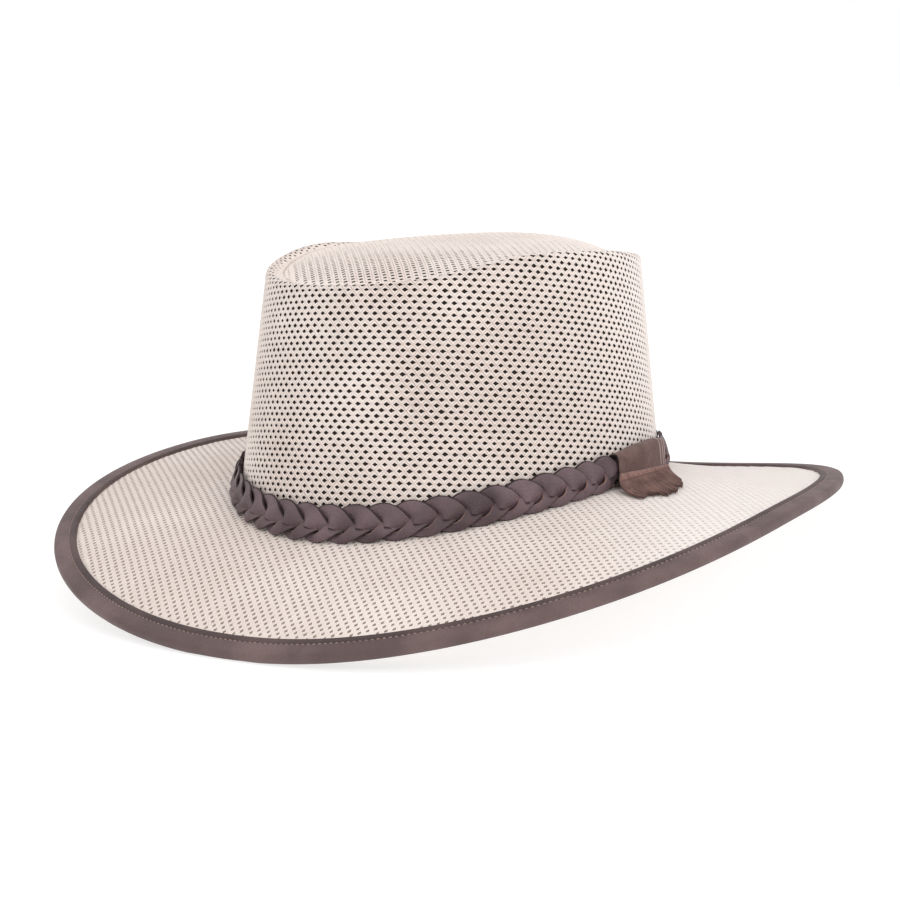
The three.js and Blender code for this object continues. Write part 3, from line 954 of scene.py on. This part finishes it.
def strand_centre(length, strand):
    """The middle of a strand, by the length along the crown's foot from the front."""
    angle = angle_along(np.mod(length + HALF_ROUND, 2 * HALF_ROUND) - HALF_ROUND)
    held = squeeze(angle)
    phase = FULL_TURN * (STRAND_SWINGS * length / (2 * HALF_ROUND) + strand / STRANDS)
    inside = (SLEEVE_HEIGHT - 2 * SLEEVE_SUEDE - 2 * CLEARANCE) * (1 - SLEEVE_HUG)
    foot = (1 - held) * CLEARANCE + held * (CLEARANCE + (SLEEVE_HEIGHT - inside) / 2)
    tall = (1 - held) * BAND_HEIGHT + held * inside
    deep = (1 - held) * BAND_THICKNESS + held * SLEEVE_FILLING * (1 - SLEEVE_HUG)
    size = tall / BAND_HEIGHT
    swing = (BAND_HEIGHT - STRAND_WIDTH) / 2
    bias = STRAND_WIDTH * STRAND_SWELL / 2
    low = (1 - held) * ((1 - np.sin(phase)) / 2) ** 2
    beside = brim_at(angle, BAND_THICKNESS / brim_width(angle))
    fall = ((beside - off_wall(angle, 0, 0)) * wall_frame(angle)[2]).sum(axis=-1)
    height = foot + tall / 2 + size * (swing * np.sin(phase) - bias) + low * np.minimum(fall, 0)
    behind = (1 - held) * CLEARANCE + held * (2 * CLEARANCE + SLEEVE_SUEDE)
    depth = behind + deep / 2 - STRAND_DEPTH * deep / BAND_THICKNESS * np.sin(2 * phase) + low * BAND_KICK
    return off_wall(angle, height, depth), angle, phase, size * (1 + STRAND_SWELL * np.sin(phase))


def strand_rows(strand):
    """A strand's section at even steps along it, and how far its swing has gone there."""
    steps, step = STRAND_SWINGS * STRAND_STEPS, 1e-5
    length = (np.arange(steps) / steps * 2 - 1) * HALF_ROUND
    centre, angle, phase, size = strand_centre(length, strand)
    ahead, back = strand_centre(length + step, strand)[0], strand_centre(length - step, strand)[0]
    along = unit(ahead - back)
    across = unit(np.cross(wall_frame(angle)[3], along))
    face = np.cross(along, across)
    lean = -STRAND_LEAN * np.cos(3 * phase)
    wide = across * each(np.cos(lean)) + face * each(np.sin(lean))
    thick = face * each(np.cos(lean)) - across * each(np.sin(lean))
    section, half = np.array(STRAND_SECTION), each(STRAND_WIDTH / 2 * size)
    rows = (centre[:, None] + wide[:, None] * each(section[:, 0] * half)
            + thick[:, None] * each(section[:, 1] * STRAND_LEATHER))
    return rows, phase


def strand_kind(side, low):
    """A face's finish: painted shade in the creases at both edges, but raw leather where the upper edge
    comes to light.
    """
    if side in UPPER_EDGE and low:
        return 1
    return 2 if side in UPPER_EDGE + LOWER_EDGE else 0


def hatband():
    sections, kinds = [], []
    for strand in range(STRANDS):
        rows, phase = strand_rows(strand)
        sections.append(rows)
        for low in np.sin(phase) < LOW_SWING:
            kinds += [strand_kind(side, low) for side in range(len(STRAND_SECTION))]
    points, faces = gathered(sections, joined_rows)
    finishes = [BAND_FINISH, RAW_EDGE_FINISH, CREASE_SHADE_FINISH]
    dress(make_piece("plaited_band", points, faces, finishes, kinds), "hatband")


hatband()

# %% [markdown]
# A suede sleeve covers the joint of the plait. It is a short tube wound from three layers that
# hug the plait at the front end. At the back end their cut edges show as pale lines, each a
# little farther out than the layer over it. The fringe is sewn to its face.

# %% Sleeve
SLEEVE_STEPS = 40
SLEEVE_SIDES = 32
SLEEVE_SOFTNESS = 4.5
SLEEVE_LAYER = 0.5 * MM
LAYER_GAP = 0.06 * MM
SLEEVE_LAYERS = 3
SLEEVE_HUG_SHARE = 0.4
LAYER_STEP = math.radians(3)
LAYER_CUT = math.radians(0.4)


def sleeve_ring(angle, inset):
    """A soft rectangle round the band at one angle, as rows of points."""
    turn = np.arange(SLEEVE_SIDES) * FULL_TURN / SLEEVE_SIDES
    deep = 2 * SLEEVE_SUEDE + 2 * CLEARANCE + SLEEVE_FILLING
    across, along = oval(turn, deep / 2 - inset, SLEEVE_HEIGHT / 2 - inset, SLEEVE_SOFTNESS)
    share = (angle - SLEEVE_START) / (SLEEVE_END - SLEEVE_START)
    hug = 1 - SLEEVE_HUG * (1 - smooth(share / SLEEVE_HUG_SHARE))
    angles = np.repeat(angle[:, None], SLEEVE_SIDES, 1)
    height = CLEARANCE + SLEEVE_HEIGHT / 2 + each(hug) * along
    distance = CLEARANCE + each(hug) * (deep / 2 + across)
    return off_wall(angles, height, distance)


def sleeve_layer(start, end, inset):
    angle = np.append(np.linspace(start, end - LAYER_CUT, SLEEVE_STEPS - 1), end)
    outer = sleeve_ring(angle, inset)
    inner = sleeve_ring(angle, inset + SLEEVE_LAYER)[::-1]
    return np.concatenate([outer, inner])


def layer_kind(row):
    """A row's finish: suede outside, the pale cut at the back end, and painted shade inside."""
    if row in (SLEEVE_STEPS - 2, SLEEVE_STEPS - 1):
        return 1
    return 2 if row > SLEEVE_STEPS else 0


def sleeve():
    layers, kinds = [], []
    for layer in range(SLEEVE_LAYERS):
        start = SLEEVE_START + LAYER_CUT * layer
        end = SLEEVE_END - LAYER_STEP * (SLEEVE_LAYERS - 1 - layer)
        layers.append(sleeve_layer(start, end, layer * (SLEEVE_LAYER + LAYER_GAP)))
        for row in range(2 * SLEEVE_STEPS):
            kinds += [layer_kind(row)] * SLEEVE_SIDES
    points, faces = gathered(layers, joined_rows)
    finishes = [SUEDE_FINISH, CUT_SUEDE_FINISH, CREASE_SHADE_FINISH]
    dress(make_piece("suede_sleeve", points, faces, finishes, kinds), "band_sleeve")


sleeve()

# %% [markdown]
# The fringe is one flap of suede, cut into fine strips that lie on the brim. A short table says
# how far each part reaches and how far it sweeps forward, from front to back. The strips share
# one head, and each has its own small twist and length, drawn from a seeded random source.

# %% Fringe
FRINGE_TABLE = np.array((
    # across, reach, sweep
    (0.0, 0.8, 0.1),
    (0.12, 0.8, 0.1),
    (0.26, 0.91, 0.21),
    (0.41, 0.98, 0.28),
    (0.56, 1.0, 0.33),
    (0.71, 0.97, 0.36),
    (0.86, 0.87, 0.36),
    (1.0, 0.7, 0.34),
))
FRINGE_STRANDS = 46
FRINGE_ROWS = 16
FRINGE_HEAD_SHARE = 0.24
FRINGE_HEAD_PLACES = 33
FRINGE_MAIN_SLIT = 27
FRINGE_STITCHES = 11
FRINGE_FULLNESS = math.radians(2.6)
FRINGE_START = SLEEVE_START - math.radians(0.8)
FRINGE_END = SLEEVE_END - math.radians(2.5)
FRINGE_HEAD_FALL = 3.2 * MM
HEAD_THICKNESS = 0.9 * FRINGE_SUEDE
HEAD_SKIVING = np.array((0.12, 0.6, 0.95, 1, 1, 1))
HEAD_SHADE = 0.08
STRIP_THICKNESS = 0.75 * FRINGE_SUEDE
STRIP_EDGE = 0.75
STRIP_START = 0.8 * FRINGE_HEAD_SHARE
STRIP_LENGTHS = (0.91, 1.02)
STRIP_GAP = 0.05
MAIN_SLIT_GAP = 0.3
STRIP_LIFT = 0.05 * MM
STRIP_RISE = 0.35 * MM
STRIP_CURL = 0.4 * MM
STRIP_TWIST = 0.22 * MM
STRIP_TONE = 0.12
STRIP_EDGE_SHADE = 0.45
STRIP_TIP_SHADE = 0.6
SEAM_ENDS = (0.08, 0.9)
SEAM_SHARE = 0.15
SEAM_STITCH = 0.045


def lying(angle, distance):
    """A place on the brim, a distance out from the crown's foot."""
    share = distance / brim_width(angle)
    return brim_at(angle, share) + normal_at(brim_at, angle, share) * 2 * CLEARANCE


def fringe_under(across, share):
    """The underside of the fringe: from the sleeve's face, over a bend, onto the brim."""
    face = 2 * SLEEVE_SUEDE + 4 * CLEARANCE + SLEEVE_FILLING
    spread = FRINGE_END - FRINGE_START
    reach = np.interp(across, FRINGE_TABLE[:, 0], FRINGE_TABLE[:, 1]) * FRINGE_REACH
    sweep = np.interp(across, FRINGE_TABLE[:, 0], FRINGE_TABLE[:, 2])
    root = FRINGE_START + spread * across
    fullness = FRINGE_FULLNESS * (1 - across) ** 2
    start = off_wall(root, FRINGE_HEAD - FRINGE_HEAD_FALL * across, face)
    bend, end = lying(root - fullness, face), lying(root - sweep * spread, reach)
    t = each(share)
    return start * (1 - t) ** 2 + bend * 2 * t * (1 - t) + end * t * t


def fringe_normal(across, share):
    step = 1e-3
    over = fringe_under(across + step, share) - fringe_under(across - step, share)
    down = fringe_under(across, share + step) - fringe_under(across, share - step)
    return unit(np.cross(down, over))


def fringe_strip(low, high, shares, lift, thick, twist, count=3):
    """A strip between two places across the fringe, as closed sections down its length."""
    rows = []
    thickness = thick * np.ones(len(shares))
    places = np.linspace(low, high, count)
    full = np.ones(count)
    full[[0, -1]] = STRIP_EDGE
    for share, rise, lean, deep in zip(shares, lift, twist, thickness):
        under = fringe_under(places, np.full(count, share))
        way = fringe_normal(places, np.full(count, share))
        tilt = lean * np.linspace(-1, 1, count)
        bottom = under + way * each(rise + tilt)
        top = under + way * each(rise + tilt + deep * full)
        rows.append(np.concatenate([bottom, top[::-1]]))
    return np.stack(rows)


def fringe_shades(section, tone, edge, tip):
    """How dark each point of a strip is: its own tone in the middle, and painted shade along its cut edges
    and at its tip.
    """
    dark = np.full(section.shape[:2], tone)
    half = section.shape[1] // 2
    dark[:, [0, half - 1, half, -1]] = edge
    dark[-1] = np.maximum(dark[-1], tip)
    return dark.ravel()


def fringe_head():
    shares = np.linspace(0, FRINGE_HEAD_SHARE, len(HEAD_SKIVING))
    level = np.zeros(len(shares))
    return fringe_strip(0, 1, shares, level, HEAD_THICKNESS * HEAD_SKIVING, level, FRINGE_HEAD_PLACES)


def fringe():
    chance = np.random.default_rng(21)
    sections = [fringe_head()]
    shades = [fringe_shades(sections[0], HEAD_SHADE, HEAD_SHADE, 0)]
    cuts = np.linspace(0, 1, FRINGE_STRANDS + 1)
    for number, (low, high) in enumerate(zip(cuts[:-1], cuts[1:])):
        gap = (high - low) * (MAIN_SLIT_GAP if number == FRINGE_MAIN_SLIT else STRIP_GAP)
        shares = np.linspace(STRIP_START, chance.uniform(*STRIP_LENGTHS), FRINGE_ROWS)
        down = (shares - shares[0]) / (shares[-1] - shares[0])
        lift = STRIP_LIFT + chance.uniform(0, STRIP_RISE) * down + chance.uniform(0, STRIP_CURL) * down ** 3
        twist = chance.uniform(-STRIP_TWIST, STRIP_TWIST) * down
        tone = chance.uniform(0, STRIP_TONE)
        sections.append(fringe_strip(low + gap, high - gap, shares, lift, STRIP_THICKNESS, twist))
        shades.append(fringe_shades(sections[-1], tone, STRIP_EDGE_SHADE, STRIP_TIP_SHADE))
    points, faces = gathered(sections, capped_tube)
    piece = make_piece("suede_fringe", points, faces, [FRINGE_FINISH], shade=np.concatenate(shades))
    dress(piece, "sleeve_fringe")


def fringe_stitches():
    """The row of stitches that holds the fringe's head to the sleeve."""
    starts = np.linspace(*SEAM_ENDS, FRINGE_STITCHES)
    row = np.full(FRINGE_STITCHES, SEAM_SHARE)
    normals = fringe_normal(starts + SEAM_STITCH / 2, row)
    near = fringe_under(starts, row) + normals * HEAD_THICKNESS
    far = fringe_under(starts + SEAM_STITCH, row) + normals * HEAD_THICKNESS
    points, faces = stitch_bodies(near, far, normals)
    sew_on(make_piece("fringe_stitches", points, faces, [FRINGE_THREAD_FINISH]))


fringe()
fringe_stitches()

# %% [markdown]
# The hat lies on a white table that glows a little, in soft, even light, as in a product
# photograph, so its shadow nearly vanishes. The camera stands where the photograph was taken
# from: a little above the brim, past the hat's left front.

# %% Floor, light and camera
CAMERA_TURN = math.radians(33.61)
CAMERA_RISE = math.radians(11.94)
CAMERA_ROLL = math.radians(-3.3)
CAMERA_DISTANCE = 0.9
CAMERA_TARGET_SIDE = -0.79 * MM
CAMERA_TARGET_HEIGHT = 43.98 * MM
CAMERA_LENS = 82.2
SENSOR_WIDTH = 36
FLOOR_HALF = 4.0
FLOOR_DROP = 0.2 * MM
HAT_MIDDLE = (0, 0, 60 * MM)


def floor():
    finish = Finish("light_table", Base_Color=rgb(172, 172, 172), Roughness=0.9,
                    Emission_Color=(1.0, 1.0, 1.0, 1.0), Emission_Strength=0.68)
    corners = [(x * FLOOR_HALF, y * FLOOR_HALF, 0) for x, y in ((-1, -1), (1, -1), (1, 1), (-1, 1))]
    piece = make_piece("floor", corners, [(0, 1, 2, 3)], [finish.material])
    piece.location.z = -FLOOR_DROP


def softbox(name, place, size, power):
    light = bpy.data.lights.new(name, "AREA")
    light.shape = "DISK"
    light.size = size
    light.energy = power
    lamp = bpy.data.objects.new(name, light)
    lamp.location = place
    lamp.rotation_euler = (Vector(HAT_MIDDLE) - Vector(place)).to_track_quat("-Z", "Y").to_euler()
    bpy.context.scene.collection.objects.link(lamp)


def camera():
    right = Vector((math.cos(CAMERA_TURN), math.sin(CAMERA_TURN), 0))
    back = Vector((math.sin(CAMERA_TURN) * math.cos(CAMERA_RISE),
                   -math.cos(CAMERA_TURN) * math.cos(CAMERA_RISE), math.sin(CAMERA_RISE)))
    up = back.cross(right)
    c, s = math.cos(CAMERA_ROLL), math.sin(CAMERA_ROLL)
    side, high = right * c + up * s, up * c - right * s
    target = right * CAMERA_TARGET_SIDE + Vector((0, 0, CAMERA_TARGET_HEIGHT))
    data = bpy.data.cameras.new("camera")
    data.lens = CAMERA_LENS
    data.sensor_width = SENSOR_WIDTH
    made = bpy.data.objects.new("camera", data)
    bpy.context.scene.collection.objects.link(made)
    made.matrix_world = Matrix.LocRotScale(target + back * CAMERA_DISTANCE,
                                           Matrix((side, high, back)).transposed(), None)
    bpy.context.scene.camera = made


def white_world():
    world = bpy.data.worlds.new("studio")
    world.use_nodes = True
    background = world.node_tree.nodes["Background"]
    background.inputs["Color"].default_value = (1, 1, 1, 1)
    background.inputs["Strength"].default_value = 1.0
    bpy.context.scene.world = world
    bpy.context.scene.view_settings.view_transform = "Standard"


floor()
softbox("key", (1.5, -0.5, 1.1), 1.2, 5)
softbox("top", (0.2, 0.2, 1.7), 1.6, 2)
white_world()
camera()
